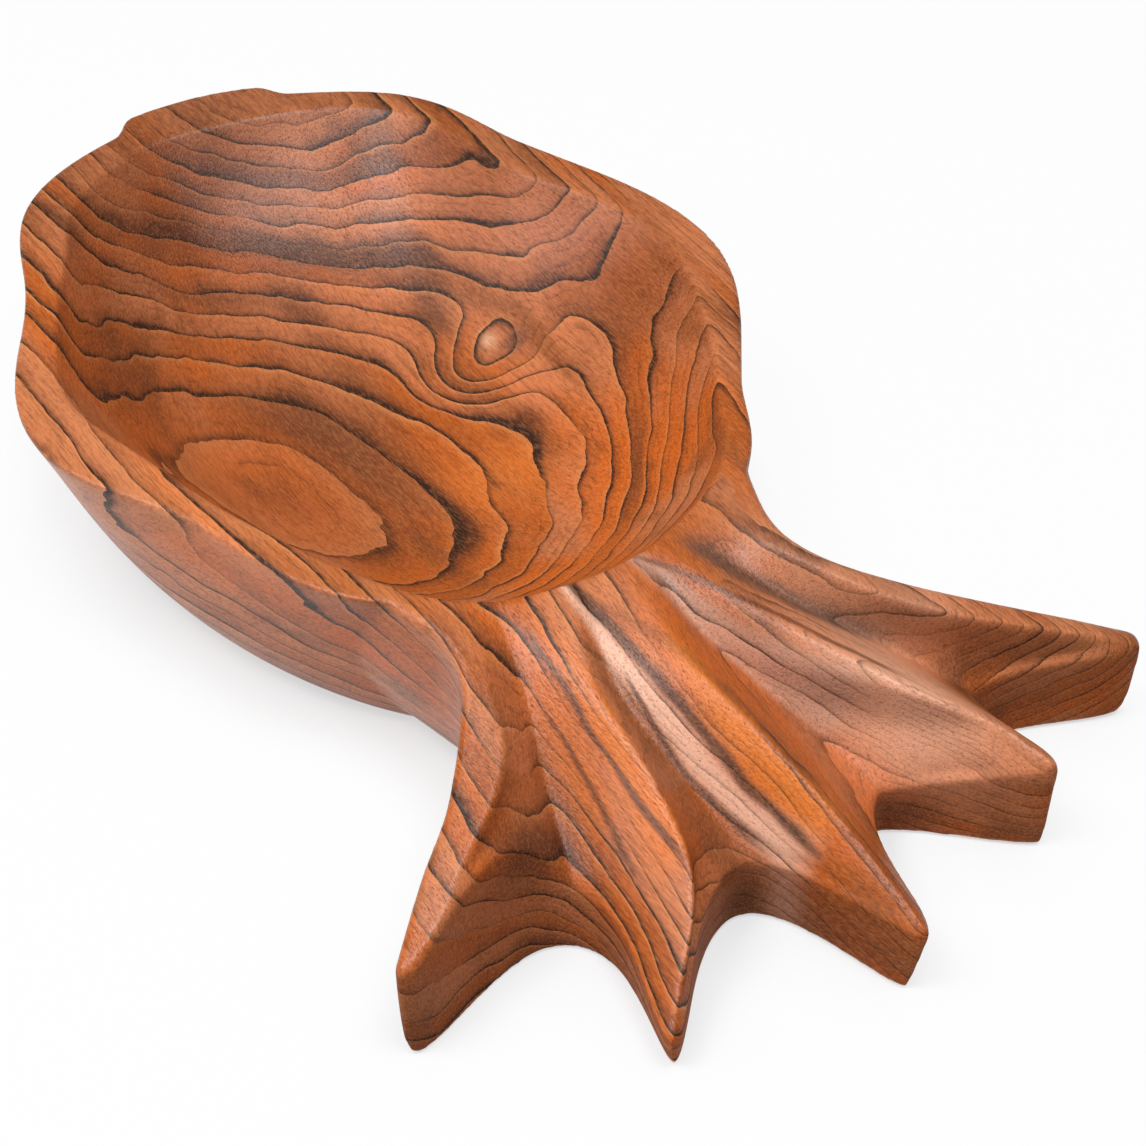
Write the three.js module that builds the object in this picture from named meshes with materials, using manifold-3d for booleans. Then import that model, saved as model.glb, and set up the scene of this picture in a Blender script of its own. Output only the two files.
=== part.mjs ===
// A serving bowl carved from one block of wood in the shape of a pineapple lying on its side.
// The round body holds a smooth hollow with a lobed rim, and a fan of five leaves grows out of
// its neck. Millimetres, +z up, flat underside at z = 0. The leaves point along +x, and the
// origin is under the middle of the bowl.
import * as THREE from 'three';
import { mergeVertices } from 'three/addons/utils/BufferGeometryUtils.js';
import Module from 'manifold-3d';

const wasm = await Module();
wasm.setup();

// Body
const NECK_X = 209;             // far end of the body to the neck, where the leaves start
const BODY_WIDTH = 163;
const RIM_HEIGHT = 46;
const BASE_END_INSET = 31;      // the flat base lies this far inside the rim at the far end,
const BASE_SIDE_INSET = 28;     // this far inside it along the sides
const BASE_NECK_INSET = 9;      // and this far short of the neck
const WALL_END_INSET = 3;       // lower down the wall is a plain oval, this far inside at the ends
const WALL_SIDE_INSET = 6;      // and this far inside at the sides
const LOBE_FADE = 2.5;          // how fast the lobes of the rim fade down the wall
const EDGE_BREAK = 0.8;         // sharp edges of the rim are taken off by this much

// Hollow
const END_BAND = 14;            // width of the flat rim at the far end
const SIDE_BAND = 10.5;         // width of the flat rim at the widest lobes
const FLOOR_THICKNESS = 9;
const HOLLOW_FULLNESS = 3.2;    // 2 is a parabola, more makes steeper walls and a flatter floor
const FLOOR_END_INSET = 2;      // lower down the hollow is a plain oval, this far inside its mouth
const FLOOR_SIDE_INSET = 4;     // at the ends and at the sides
const MOUTH_FADE = 3;           // how fast the waves of the mouth fade into that oval

// Crown
const EDGE_ROUNDING = 1.2;      // the edges of the crown are rounded over this far out and down
const TIP_HALF_WIDTH = 3;       // how far the outline swings sideways at a leaf tip
const TIP_ROUNDING = 0.25;      // share of the way to the shoulder where the tip's corner lies
const GAP_REACH = 3;            // how soon the flanks turn to the rounded gaps: more is later
const CREST_SHARPNESS = 1.35;   // 1 gives flat flanks, more a crisp crest and a hollow valley
const GAP_WALL_SLOPE = 0.8;     // 0 rounds the walls of the gaps in at the foot, 1 runs them straight

// Rim of the body: the crests and notches of its lobes, once round. Each has its angle seen from
// the middle of the body and how far the rim lies outside a plain oval there, or inside if less
// than nothing.
const LOBES = [
  { angle: -175, reach: 0.5 },
  { angle: -170, reach: -4.8 },
  { angle: -153, reach: -3.6 },
  { angle: -127, reach: -10.2 },
  { angle: -83, reach: 2.2 },
  { angle: -54.5, reach: -5.2 },
  { angle: -29.5, reach: 3.5 },
  { angle: 4, reach: -6.5 },
  { angle: 20, reach: -1.2 },
  { angle: 39.5, reach: -8.1 },
  { angle: 78, reach: -0.5 },
  { angle: 123, reach: -8.4 },
  { angle: 146.5, reach: -0.9 },
  { angle: 163, reach: -3.2 },
  { angle: 167, reach: 1.1 },
];

// Mouth of the hollow: fractions of its length along x and of its half width along y
const MOUTH = [
  [0.000, -0.06], [0.020, -0.28], [0.082, -0.53], [0.190, -0.70], [0.308, -0.87],
  [0.441, -1.00], [0.585, -0.93], [0.738, -0.82], [0.897, -0.63], [0.974, -0.44],
  [1.000, -0.14], [0.985, 0.14], [0.918, 0.46], [0.795, 0.68], [0.692, 0.84],
  [0.538, 1.00], [0.431, 0.96], [0.297, 0.81], [0.113, 0.69], [0.031, 0.42],
];

// Rails of the crown, in order across the fan: the outer edges, the crests of the five leaves and
// the valleys between them. A rail starts at the height of the rim and ends at its own height.
// Its points are the distance beyond the neck, the side offset and the share of that fall. An
// edge and a crest end in a leaf tip, whose foot is given with its height.
const EDGE_1 = {
  end: 23,
  foot: [50, -80.5, 0],
  path: [[-28, -49.5, 0], [-12, -44.5, 0], [0, -41.5, 0.04], [11, -44, 0.18], [27, -56.5, 0.53],
    [37.4, -68.7, 0.76], [49, -81, 1]],
};
const CREST_1 = {
  end: 23,
  foot: [51, -79.2, 0],
  path: [[-19, -38, 0], [-7, -35, 0], [11, -39.3, 0.2], [29.5, -48.5, 0.5], [49.5, -79.5, 1]],
};
const VALLEY_1 = {
  end: 15,
  path: [[-19, -27, 0], [-5, -28.5, 0.06], [12, -32, 0.35], [27, -36.5, 0.72], [41, -40, 1]],
};
const CREST_2 = {
  end: 10,
  foot: [78.4, -42, 0],
  path: [[-19, -14, 0], [0, -15, 0], [20, -22, 0.18], [43.5, -22.4, 0.41], [62.5, -27.5, 0.61],
    [78.3, -42.6, 1]],
};
const VALLEY_2 = {
  end: 15.5,
  path: [[-19, -11, 0], [2, -12.5, 0.05], [20, -17.3, 0.33], [41, -12.8, 0.74], [53.5, -10, 1]],
};
const CREST_3 = {
  end: 17,
  foot: [86.3, 4.6, 0],
  path: [[-19, -4, 0], [1, -3.5, 0], [26, -2.8, 0.23], [47, 2.2, 0.5], [67, 5.7, 0.77],
    [87.5, 6.8, 1]],
};
const VALLEY_3 = {
  end: 13,
  path: [[-19, 1, 0], [0, 3, 0.04], [14.5, 5.6, 0.28], [33.5, 16.5, 0.7], [50, 24.5, 1]],
};
const CREST_4 = {
  end: 23,
  foot: [71, 50.6, 0],
  path: [[-19, 4, 0], [0, 7, 0.02], [20, 17.5, 0.28], [46, 33, 0.62], [61, 46, 0.87],
    [71, 50.5, 1]],
};
const VALLEY_4 = {
  end: 15.5,
  path: [[-19, 11, 0], [-2, 14, 0.05], [14, 24, 0.3], [29, 41, 0.66], [39, 55, 1]],
};
const CREST_5 = {
  end: 21,
  foot: [50, 88.4, 0],
  path: [[-19, 26, 0], [-6, 24, 0.02], [12, 30.5, 0.16], [32, 51, 0.52], [51.3, 89.2, 1]],
};
const EDGE_5 = {
  end: 20.5,
  foot: [48, 89.8, 0],
  path: [[-30, 46, 0], [-9, 34, 0], [8, 32.5, 0.14], [24, 49, 0.43], [48.3, 90.8, 1]],
};
const CRESTS = [CREST_1, CREST_2, CREST_3, CREST_4, CREST_5];
const VALLEYS = [VALLEY_1, VALLEY_2, VALLEY_3, VALLEY_4];

// The four gaps between the leaves. The upper edge of a gap is pulled from its two tips towards a
// point before and a point after the end of its valley: distance beyond the neck, side offset and
// height. The foot of the gap on the ground is drawn the same way, with an end of its own.
const GAPS = [
  {
    before: [28, -49, 36],
    after: [50, -31, 14],
    foot: { before: [41.8, -58.8, 0], end: [42, -47.2, 0], after: [45, -31, 0] },
  },
  {
    before: [54.5, -25, 20],
    after: [54.5, 0, 15],
    foot: { before: [55.6, -23.3, 0], end: [54.5, -12.2, 0], after: [55.5, -1.4, 0] },
  },
  {
    before: [56, 12.5, 14],
    after: [52, 35.5, 13],
    foot: { before: [56, 12.7, 0], end: [50.7, 24.5, 0], after: [54.8, 33.4, 0] },
  },
  {
    before: [51, 51, 17],
    after: [38.5, 68, 18],
    foot: { before: [51.5, 51.8, 0], end: [41.5, 54.5, 0], after: [40.3, 66.5, 0] },
  },
];

// Foot of the two outer edges on the ground: distance beyond the neck and side offset. It leaves
// the flat base of the body, draws in at the neck and runs out to the outer leaf tips.
const FOOT_1 = [[-49, -34], [-21, -28.8], [3, -25.5], [24, -45]];
const FOOT_5 = [[-49, 34], [-20, 28], [4, 27], [22, 43]];

// How fine the surfaces are cut
const RIM_STEPS = 144;
const WALL_LEVELS = 8;
const HOLLOW_STEPS = 96;
const HOLLOW_LEVELS = 9;
const RAIL_STEPS = 18;
const FLANK_STEPS = 6;
const CROWN_WALL_LEVELS = 4;

const halfLength = NECK_X / 2;
const halfWidth = BODY_WIDTH / 2;

function lerp(a, b, t) {
  return a + (b - a) * t;
}

function ovalRadius(angle, alongX, alongY) {
  return 1 / Math.hypot(Math.cos(angle) / alongX, Math.sin(angle) / alongY);
}

// Radius of the lobed rim at an angle, easing from each crest to the next notch and back
function rimRadius(angle) {
  const first = LOBES[0];
  const turn = THREE.MathUtils.radToDeg(angle) - first.angle;
  const degrees = THREE.MathUtils.euclideanModulo(turn, 360) + first.angle;
  const k = LOBES.findLastIndex((lobe) => lobe.angle <= degrees);
  const here = LOBES[k];
  const next = LOBES[k + 1] ?? { angle: first.angle + 360, reach: first.reach };
  const t = (degrees - here.angle) / (next.angle - here.angle);
  const ease = (1 - Math.cos(t * Math.PI)) / 2;
  return ovalRadius(angle, halfLength, halfWidth) + lerp(here.reach, next.reach, ease);
}

// A closed surface through rings of points, with a flat fan over the first and the last ring
function loft(rings, capCentres) {
  const count = rings[0].length;
  const points = rings.flat();
  const faces = [];
  for (let level = 0; level + 1 < rings.length; level += 1) {
    for (let i = 0; i < count; i += 1) {
      const a = level * count + i;
      const b = level * count + ((i + 1) % count);
      faces.push([a, b, b + count], [a, b + count, a + count]);
    }
  }
  const bottom = points.push(capCentres[0]) - 1;
  const top = points.push(capCentres[1]) - 1;
  const lastRing = (rings.length - 1) * count;
  for (let i = 0; i < count; i += 1) {
    const next = (i + 1) % count;
    faces.push([bottom, next, i]);
    faces.push([top, lastRing + i, lastRing + next]);
  }
  return toGeometry(points, faces);
}

function toGeometry(points, faces) {
  const geometry = new THREE.BufferGeometry();
  geometry.setAttribute('position', new THREE.Float32BufferAttribute(points.flat(), 3));
  geometry.setIndex(faces.flat());
  return geometry;
}

// Body: rings from the flat base up to the rim, round at the foot and upright at the top
function bodyGeometry() {
  const rings = [];
  for (let level = 0; level <= WALL_LEVELS; level += 1) {
    const rise = level === 0 ? 0 : 1 - Math.cos((level / WALL_LEVELS) * (Math.PI / 2));
    rings.push(bodyRing(rise, 0));
  }
  rings[WALL_LEVELS] = bodyRing(1 - EDGE_BREAK / RIM_HEIGHT, 0);
  rings.push(bodyRing(1, EDGE_BREAK));
  return loft(rings, [[halfLength, 0, 0], [halfLength, 0, RIM_HEIGHT]]);
}

function bodyRing(rise, inset) {
  const spread = Math.sqrt(1 - (1 - rise) ** 2);
  const lobing = rise ** LOBE_FADE;
  const baseLength = NECK_X - BASE_END_INSET - BASE_NECK_INSET;
  const baseMiddle = BASE_END_INSET + baseLength / 2;
  const ring = [];
  for (let i = 0; i < RIM_STEPS; i += 1) {
    const angle = -Math.PI + ((i + 0.5) / RIM_STEPS) * 2 * Math.PI;
    const rim = rimRadius(angle);
    const oval = ovalRadius(angle, halfLength - WALL_END_INSET, halfWidth - WALL_SIDE_INSET);
    const radius = lerp(Math.min(rim, oval), rim, lobing) - inset;
    const base = ovalRadius(angle, baseLength / 2, halfWidth - BASE_SIDE_INSET);
    const x = lerp(baseMiddle + base * Math.cos(angle), halfLength + radius * Math.cos(angle), spread);
    const y = lerp(base, radius, spread) * Math.sin(angle);
    ring.push([x, y, rise * RIM_HEIGHT]);
  }
  return ring;
}

// Hollow: rings from the floor up to the mouth, and a plug above it that the cut goes through
const mouthLength = NECK_X - END_BAND;
const mouthMiddle = (NECK_X + END_BAND) / 2;
const mouthHalfWidth = halfWidth - SIDE_BAND;

function hollowGeometry() {
  const curve = new THREE.CatmullRomCurve3(
    MOUTH.map(([u, v]) => new THREE.Vector3(END_BAND + u * mouthLength, v * mouthHalfWidth, 0)),
    true,
    'catmullrom',
  );
  const mouth = curve.getPoints(HOLLOW_STEPS).slice(0, -1);
  const rings = [];
  const depth = RIM_HEIGHT - FLOOR_THICKNESS;
  for (let level = 1; level <= HOLLOW_LEVELS; level += 1) {
    const share = Math.sin((level / HOLLOW_LEVELS) * (Math.PI / 2));
    rings.push(hollowRing(mouth, share, FLOOR_THICKNESS + depth * share ** HOLLOW_FULLNESS));
  }
  const broken = 1 + EDGE_BREAK / mouthHalfWidth;
  rings[HOLLOW_LEVELS - 1] = hollowRing(mouth, 1, RIM_HEIGHT - EDGE_BREAK);
  rings.push(hollowRing(mouth, broken, RIM_HEIGHT));
  rings.push(hollowRing(mouth, broken, RIM_HEIGHT + SIDE_BAND));
  return loft(rings, [
    [mouthMiddle, 0, FLOOR_THICKNESS],
    [mouthMiddle, 0, RIM_HEIGHT + SIDE_BAND],
  ]);
}

// The waves of the mouth fade into a plain oval lower down
function hollowRing(mouth, share, height) {
  const fade = Math.min(1, share) ** MOUTH_FADE;
  const ovalLength = mouthLength / 2 - FLOOR_END_INSET;
  const ovalWidth = mouthHalfWidth - FLOOR_SIDE_INSET;
  return mouth.map((point) => {
    const x = point.x - mouthMiddle;
    const angle = Math.atan2(point.y, x);
    const oval = ovalRadius(angle, ovalLength, ovalWidth);
    const radius = lerp(oval, Math.hypot(x, point.y), fade) * share;
    return [mouthMiddle + radius * Math.cos(angle), radius * Math.sin(angle), height];
  });
}

// Crown: a grid of points between the rails, along each rail and across each flank
function railPoint(rail, u) {
  const [x, y, fall] = smoothPoint(rail.path, u);
  const height = Math.min(lerp(RIM_HEIGHT, rail.end, fall), RIM_HEIGHT);
  return [NECK_X + x, y, height];
}

// A smooth curve through a list of points, at a share u of its length
function smoothPoint(path, u) {
  const scaled = u * (path.length - 1);
  const k = Math.min(Math.floor(scaled), path.length - 2);
  const t = scaled - k;
  const at = (i) => path[Math.max(0, Math.min(path.length - 1, i))];
  const [a, b, c, d] = [at(k - 1), at(k), at(k + 1), at(k + 2)];
  return b.map((_, axis) => {
    const slope = (c[axis] - a[axis]) / 2;
    const nextSlope = (d[axis] - b[axis]) / 2;
    const rise = c[axis] - b[axis];
    return b[axis] + slope * t + (3 * rise - 2 * slope - nextSlope) * t ** 2
      + (slope + nextSlope - 2 * rise) * t ** 3;
  });
}

function smoothColumn(pointAt) {
  return Array.from({ length: RAIL_STEPS + 1 }, (_, i) => pointAt(i / RAIL_STEPS));
}

// Where the flanks of the leaves stand, in order across the fan: from each crest down to the next
// valley and up to the next crest. A place has its crest and valley, its side of the gap and its
// share t of the way from the crest to the valley.
function flankPlaces() {
  const down = Array.from({ length: FLANK_STEPS }, (_, k) => k / FLANK_STEPS);
  const up = down.map((t) => 1 - t);
  return VALLEYS.flatMap((valley, i) => {
    const gap = GAPS[i];
    const before = { crest: CRESTS[i], valley, shoulder: gap.before, foot: gap.foot.before };
    const after = { crest: CRESTS[i + 1], valley, shoulder: gap.after, foot: gap.foot.after };
    return [
      ...down.map((t) => ({ ...before, footEnd: gap.foot.end, t })),
      ...up.map((t) => ({ ...after, footEnd: gap.foot.end, t })),
    ];
  });
}

// Curve of a gap from a leaf tip to the end of the gap: blunt at the tip, round at the end
function gapCurve(crest, tip, pull, end, t) {
  const last = railPoint(crest, 1);
  const before = railPoint(crest, 1 - 1 / RAIL_STEPS);
  const along = new THREE.Vector2(last[0] - before[0], last[1] - before[1]).normalize();
  const side = Math.sign(along.x * (end[1] - tip[1]) - along.y * (end[0] - tip[0]));
  const across = [-along.y * side * TIP_HALF_WIDTH, along.x * side * TIP_HALF_WIDTH, 0];
  return tip.map((_, axis) => {
    const corner = lerp(tip[axis], pull[axis], TIP_ROUNDING) + across[axis];
    return (1 - t) ** 3 * tip[axis] + 3 * t * (1 - t) ** 2 * corner
      + 3 * t ** 2 * (1 - t) * pull[axis] + t ** 3 * end[axis];
  });
}

function beyondNeck([x, y, z]) {
  return [NECK_X + x, y, z];
}

// One column of points along the crown, a share t of the way down the flank from a crest to a
// valley. Near the end the column bends to the rounded edge of the gap.
function flankColumn({ crest, valley, shoulder, t }) {
  const tip = railPoint(crest, 1);
  const gap = railPoint(valley, 1);
  const edge = gapCurve(crest, tip, beyondNeck(shoulder), gap, t);
  const shares = [1 - t, 1 - t, (1 - t) ** CREST_SHARPNESS];
  return smoothColumn((u) => {
    const high = railPoint(crest, u);
    const low = railPoint(valley, u);
    return shares.map((share, axis) => {
      const bend = edge[axis] - lerp(gap[axis], tip[axis], share);
      return lerp(low[axis], high[axis], share) + u ** GAP_REACH * bend;
    });
  });
}

function flankFoot({ crest, foot, footEnd, t }) {
  return gapCurve(crest, beyondNeck(crest.foot), beyondNeck(foot), beyondNeck(footEnd), t);
}

function footColumn(foot, [endX, endY]) {
  const path = [...foot.map(([x, y]) => [NECK_X + x, y]), [endX, endY]];
  return smoothColumn((u) => [...smoothPoint(path, u), 0]);
}

// The outline of the crown's top as places in the grid, once round: out along the first edge,
// across the leaf ends, back along the last edge and across the root in the body
function crownOutline(columnCount) {
  const row = RAIL_STEPS + 1;
  const lastColumn = columnCount - 1;
  const firstEdge = Array.from({ length: RAIL_STEPS }, (_, i) => i);
  const ends = Array.from({ length: lastColumn }, (_, j) => j * row + RAIL_STEPS);
  const lastEdge = firstEdge.map((i) => lastColumn * row + RAIL_STEPS - i);
  const root = ends.map((_, j) => (lastColumn - j) * row);
  return { firstEdge, ends, lastEdge, root };
}

// Moves the points of a closed outline away from the solid and down, to round its edge over
function roundedOutline(points) {
  return points.map(([x, y, z], k) => {
    const before = points.at(k - 1);
    const after = points[(k + 1) % points.length];
    const along = new THREE.Vector2(after[0] - before[0], after[1] - before[1]).normalize();
    return [x + along.y * EDGE_ROUNDING, y - along.x * EDGE_ROUNDING, z - EDGE_ROUNDING];
  });
}

// The foot of each point of the outline on the ground
function footOutline(places, rootCount) {
  const endFeet = [
    beyondNeck(EDGE_1.foot),
    ...places.map(flankFoot),
    beyondNeck(CREST_5.foot),
    beyondNeck(EDGE_5.foot),
  ];
  const firstFoot = footColumn(FOOT_1, endFeet[0]);
  const lastFoot = footColumn(FOOT_5, endFeet.at(-1));
  const rootFeet = Array.from({ length: rootCount }, (_, j) => (
    lastFoot[0].map((value, axis) => lerp(value, firstFoot[0][axis], j / rootCount))
  ));
  return [
    ...firstFoot.slice(0, -1),
    ...endFeet.slice(0, -1),
    ...lastFoot.slice(1).reverse(),
    ...rootFeet,
  ];
}

// Crown solid: the carved top, its rounded edge, walls that turn in towards the foot, and the
// flat underside
function crownGeometry() {
  const places = flankPlaces();
  const columns = [
    smoothColumn((u) => railPoint(EDGE_1, u)),
    ...places.map(flankColumn),
    smoothColumn((u) => railPoint(CREST_5, u)),
    smoothColumn((u) => railPoint(EDGE_5, u)),
  ];
  const points = columns.flat();
  const faces = [];
  const row = RAIL_STEPS + 1;
  for (let j = 0; j + 1 < columns.length; j += 1) {
    for (let i = 0; i < RAIL_STEPS; i += 1) {
      const a = j * row + i;
      faces.push([a, a + 1, a + row + 1], [a, a + row + 1, a + row]);
    }
  }
  const outline = crownOutline(columns.length);
  const edge = [...outline.firstEdge, ...outline.ends, ...outline.lastEdge, ...outline.root];
  const outer = roundedOutline(edge.map((index) => points[index]));
  const feet = footOutline(places, outline.root.length);
  const gapStart = outline.firstEdge.length;
  const inGap = (k) => k > gapStart && k <= gapStart + places.length;
  const rings = [edge];
  for (let level = 0; level <= CROWN_WALL_LEVELS; level += 1) {
    const turn = (level / CROWN_WALL_LEVELS) * (Math.PI / 2);
    const down = level === CROWN_WALL_LEVELS ? 1 : Math.sin(turn);
    const wall = outer.map(([x, y, z], k) => {
      const [footX, footY] = feet[k];
      const inward = lerp(1 - Math.cos(turn), down, inGap(k) ? GAP_WALL_SLOPE : 0);
      return [lerp(x, footX, inward), lerp(y, footY, inward), z * (1 - down)];
    });
    rings.push(wall.map((point) => points.push(point) - 1));
  }
  for (let level = 0; level + 1 < rings.length; level += 1) {
    const upper = rings[level];
    const lower = rings[level + 1];
    for (let k = 0; k < upper.length; k += 1) {
      const next = (k + 1) % upper.length;
      faces.push([upper[k], lower[k], lower[next]], [upper[k], lower[next], upper[next]]);
    }
  }
  const ground = rings.at(-1);
  const flat = ground.map((index) => new THREE.Vector2(points[index][0], points[index][1]));
  for (const [a, b, c] of THREE.ShapeUtils.triangulateShape(flat, [])) {
    faces.push([ground[a], ground[c], ground[b]]);
  }
  return toGeometry(points, faces);
}

// Joins and cuts of closed meshes
function toSolid(geometry) {
  const merged = mergeVertices(geometry);
  return new wasm.Manifold(new wasm.Mesh({
    numProp: 3,
    vertProperties: new Float32Array(merged.attributes.position.array),
    triVerts: new Uint32Array(merged.index.array),
  }));
}

function fromSolid(solid) {
  const mesh = solid.getMesh();
  const geometry = new THREE.BufferGeometry();
  geometry.setAttribute('position', new THREE.BufferAttribute(mesh.vertProperties, 3));
  geometry.setIndex(new THREE.BufferAttribute(mesh.triVerts, 1));
  geometry.computeVertexNormals();
  return geometry;
}

const block = toSolid(bodyGeometry()).add(toSolid(crownGeometry()));
const carved = block.subtract(toSolid(hollowGeometry()));

const teak = new THREE.MeshStandardMaterial({ color: 0xb4673a, roughness: 0.45, metalness: 0 });
const bowl = new THREE.Mesh(fromSolid(carved), teak);
bowl.name = 'carved_bowl';

// The origin is under the middle of the bowl
bowl.geometry.computeBoundingBox();
const middle = bowl.geometry.boundingBox.getCenter(new THREE.Vector3());
bowl.position.set(-middle.x, -middle.y, 0);

const group = new THREE.Group();
group.name = 'pineapple_bowl';
group.add(bowl);

export default group;
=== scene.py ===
import math

import bmesh
import bpy
import numpy as np
from mathutils import Matrix, Vector


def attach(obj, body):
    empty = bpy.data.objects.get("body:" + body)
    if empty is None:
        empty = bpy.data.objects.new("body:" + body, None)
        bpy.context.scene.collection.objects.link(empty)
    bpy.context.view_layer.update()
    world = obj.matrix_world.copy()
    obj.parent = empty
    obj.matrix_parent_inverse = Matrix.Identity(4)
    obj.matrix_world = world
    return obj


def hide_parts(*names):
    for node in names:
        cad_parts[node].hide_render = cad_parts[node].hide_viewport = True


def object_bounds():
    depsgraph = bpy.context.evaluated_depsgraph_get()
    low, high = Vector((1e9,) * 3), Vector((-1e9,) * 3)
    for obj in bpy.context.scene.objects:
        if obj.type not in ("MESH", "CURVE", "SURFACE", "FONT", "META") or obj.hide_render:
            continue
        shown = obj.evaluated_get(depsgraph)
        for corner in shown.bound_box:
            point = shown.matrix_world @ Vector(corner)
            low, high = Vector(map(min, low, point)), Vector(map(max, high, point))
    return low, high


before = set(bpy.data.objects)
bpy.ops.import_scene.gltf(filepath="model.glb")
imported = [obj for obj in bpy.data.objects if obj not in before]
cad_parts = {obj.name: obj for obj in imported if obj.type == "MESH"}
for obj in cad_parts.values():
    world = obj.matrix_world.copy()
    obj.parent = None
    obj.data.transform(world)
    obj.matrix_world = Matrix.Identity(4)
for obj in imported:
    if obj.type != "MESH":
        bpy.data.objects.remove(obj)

cad_low, cad_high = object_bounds()

# The carving is laid out in millimetres, from the far end of the bowl along +x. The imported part
# has its origin under the middle of its box.
MM = 0.001

# Body and hollow, the same sizes as the solid. Only the edge break is smaller, because the
# smoothing rounds the edges further.
NECK_X = 209.0
BODY_WIDTH = 163.0
RIM_HEIGHT = 46.0
BASE_END_INSET = 31.0
BASE_SIDE_INSET = 28.0
BASE_NECK_INSET = 9.0
WALL_END_INSET = 3.0
WALL_SIDE_INSET = 6.0
LOBE_FADE = 2.5
EDGE_BREAK = 0.5
END_BAND = 14.0
SIDE_BAND = 10.5
FLOOR_THICKNESS = 9.0
FLOOR_END_INSET = 2.0
FLOOR_SIDE_INSET = 4.0
MOUTH_FADE = 3
HOLLOW_FULLNESS = 3.2

# Crown
EDGE_ROUNDING = 1.2
TIP_HALF_WIDTH = 3.0
TIP_ROUNDING = 0.25
TIP_STEP = 1 / 18
GAP_REACH = 3.0
CREST_SHARPNESS = 1.35
GAP_WALL_SLOPE = 0.8

# Crests and notches of the rim: angle, and reach beyond a plain oval
LOBES = np.array([
    (-175, 0.5), (-170, -4.8), (-153, -3.6), (-127, -10.2), (-83, 2.2), (-54.5, -5.2),
    (-29.5, 3.5), (4, -6.5), (20, -1.2), (39.5, -8.1), (78, -0.5), (123, -8.4),
    (146.5, -0.9), (163, -3.2), (167, 1.1),
], float)

# Mouth of the hollow, as shares of its length and half width
MOUTH = np.array([
    (0.000, -0.06), (0.020, -0.28), (0.082, -0.53), (0.190, -0.70), (0.308, -0.87),
    (0.441, -1.00), (0.585, -0.93), (0.738, -0.82), (0.897, -0.63), (0.974, -0.44),
    (1.000, -0.14), (0.985, 0.14), (0.918, 0.46), (0.795, 0.68), (0.692, 0.84),
    (0.538, 1.00), (0.431, 0.96), (0.297, 0.81), (0.113, 0.69), (0.031, 0.42),
], float)

# Rails of the crown: height of the end, points as distance beyond the neck, side offset and share
# of the fall, and for edges and crests the foot of the leaf tip
EDGE_1 = (23.0, [(-28, -49.5, 0), (-12, -44.5, 0), (0, -41.5, 0.04), (11, -44, 0.18),
                 (27, -56.5, 0.53), (37.4, -68.7, 0.76), (49, -81, 1)], (50, -80.5, 0))
CREST_1 = (23.0, [(-19, -38, 0), (-7, -35, 0), (11, -39.3, 0.2), (29.5, -48.5, 0.5),
                  (49.5, -79.5, 1)], (51, -79.2, 0))
VALLEY_1 = (15.0, [(-19, -27, 0), (-5, -28.5, 0.06), (12, -32, 0.35), (27, -36.5, 0.72),
                   (41, -40, 1)], None)
CREST_2 = (10.0, [(-19, -14, 0), (0, -15, 0), (20, -22, 0.18), (43.5, -22.4, 0.41),
                  (62.5, -27.5, 0.61), (78.3, -42.6, 1)], (78.4, -42, 0))
VALLEY_2 = (15.5, [(-19, -11, 0), (2, -12.5, 0.05), (20, -17.3, 0.33), (41, -12.8, 0.74),
                   (53.5, -10, 1)], None)
CREST_3 = (17.0, [(-19, -4, 0), (1, -3.5, 0), (26, -2.8, 0.23), (47, 2.2, 0.5), (67, 5.7, 0.77),
                  (87.5, 6.8, 1)], (86.3, 4.6, 0))
VALLEY_3 = (13.0, [(-19, 1, 0), (0, 3, 0.04), (14.5, 5.6, 0.28), (33.5, 16.5, 0.7),
                   (50, 24.5, 1)], None)
CREST_4 = (23.0, [(-19, 4, 0), (0, 7, 0.02), (20, 17.5, 0.28), (46, 33, 0.62), (61, 46, 0.87),
                  (71, 50.5, 1)], (71, 50.6, 0))
VALLEY_4 = (15.5, [(-19, 11, 0), (-2, 14, 0.05), (14, 24, 0.3), (29, 41, 0.66),
                   (39, 55, 1)], None)
CREST_5 = (21.0, [(-19, 26, 0), (-6, 24, 0.02), (12, 30.5, 0.16), (32, 51, 0.52),
                  (51.3, 89.2, 1)], (50, 88.4, 0))
EDGE_5 = (20.5, [(-30, 46, 0), (-9, 34, 0), (8, 32.5, 0.14), (24, 49, 0.43),
                 (48.3, 90.8, 1)], (48, 89.8, 0))
CRESTS = [CREST_1, CREST_2, CREST_3, CREST_4, CREST_5]
VALLEYS = [VALLEY_1, VALLEY_2, VALLEY_3, VALLEY_4]

# Each gap has two sides, before and after its valley: the point that pulls its upper edge, the
# point that pulls its foot and the inner end of its foot
GAPS = [
    [((28, -49, 36), (41.8, -58.8, 0), (42, -47.2, 0)),
     ((50, -31, 14), (45, -31, 0), (42, -47.2, 0))],
    [((54.5, -25, 20), (55.6, -23.3, 0), (54.5, -12.2, 0)),
     ((54.5, 0, 15), (55.5, -1.4, 0), (54.5, -12.2, 0))],
    [((56, 12.5, 14), (56, 12.7, 0), (50.7, 24.5, 0)),
     ((52, 35.5, 13), (54.8, 33.4, 0), (50.7, 24.5, 0))],
    [((51, 51, 17), (51.5, 51.8, 0), (41.5, 54.5, 0)),
     ((38.5, 68, 18), (40.3, 66.5, 0), (41.5, 54.5, 0))],
]
# Feet of the outer edges: distance beyond the neck and side offset
FOOT_1 = [(-49, -34), (-21, -28.8), (3, -25.5), (24, -45)]
FOOT_5 = [(-49, 34), (-20, 28), (4, 27), (22, 43)]

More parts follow.
